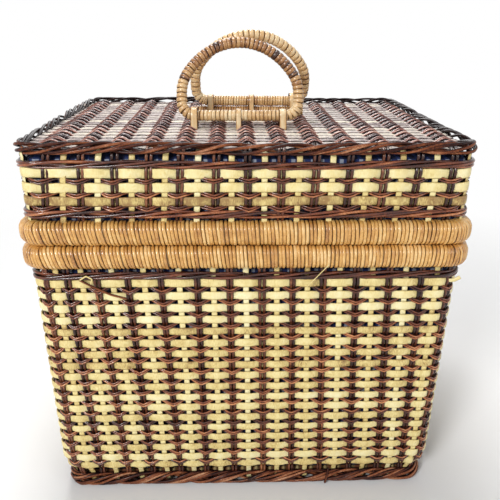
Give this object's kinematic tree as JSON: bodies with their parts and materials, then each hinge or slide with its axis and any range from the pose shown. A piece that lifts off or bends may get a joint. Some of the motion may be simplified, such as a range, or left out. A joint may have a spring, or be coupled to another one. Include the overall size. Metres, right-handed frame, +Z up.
{
  "type": "picnic basket",
  "caption": "Rectangular woven cane picnic basket with a deep hinged lid, cloth lining, bound rims and twin D handles that fold down on the lid",
  "frame": {"origin": "centre of the bottom of the basket, where it stands", "axes": "+Z up through the lid, -Y the front, +X to the right as seen from the front; the lid hinge is at +Y"},
  "size_m": [0.437, 0.3458, 0.4944],
  "materials": {
    "brown_reed": "dark stained round reed, slightly glossy",
    "cream_weave": "flat cream cane strip, satin",
    "pale_cane": "natural pale cane, satin",
    "honey_cane": "honey coloured wrapped cane, satin",
    "gingham_cotton": "blue and white checked cotton, matte"
  },
  "bodies": {
    "basket": {"base_border": "brown_reed", "base_panel": "brown_reed", "body_wall": "cream_weave", "body_wale": "brown_reed", "body_dark_stakes": "brown_reed", "body_pale_stakes": "pale_cane", "body_lining": "gingham_cotton", "body_rim_outer_hoop": "pale_cane", "body_rim_inner_hoop": "pale_cane", "body_rim_binding": "honey_cane", "body_hinge_loops": "honey_cane", "hinge_rods": "brown_reed"},
    "lid": {"lid_rim_outer_hoop": "pale_cane", "lid_rim_inner_hoop": "pale_cane", "lid_rim_binding": "honey_cane", "lid_hinge_loops": "honey_cane", "lid_lower_wale": "brown_reed", "lid_wall": "cream_weave", "lid_upper_wale": "brown_reed", "lid_dark_stakes": "brown_reed", "lid_pale_stakes": "pale_cane", "lid_side_dark_stakes": "brown_reed", "lid_side_pale_stakes": "pale_cane", "lid_top_border": "brown_reed", "lid_panel": "cream_weave", "lid_lining": "gingham_cotton", "bearer_rod": "pale_cane", "bearer_binding": "honey_cane", "front_handle_ties": "pale_cane", "rear_handle_ties": "pale_cane"},
    "front_handle": {"front_handle_pole": "pale_cane", "front_handle_binding": "honey_cane"},
    "rear_handle": {"rear_handle_pole": "pale_cane", "rear_handle_binding": "honey_cane"}
  },
  "joints": [
    {"name": "lid_hinge", "type": "hinge", "parent": "basket", "child": "lid", "pos_m": [0, 0.17124, 0.3043], "axis": [-1, 0, 0], "range_deg": [0, 110]},
    {"name": "front_handle_hinge", "type": "hinge", "parent": "lid", "child": "front_handle", "pos_m": [-0.006, -0.05, 0.4086], "axis": [1, 0, 0], "range_deg": [0, 110]},
    {"name": "rear_handle_hinge", "type": "hinge", "parent": "lid", "child": "rear_handle", "pos_m": [0.006, 0.014, 0.41615], "axis": [-1, 0, 0], "range_deg": [0, 115]}
  ]
}
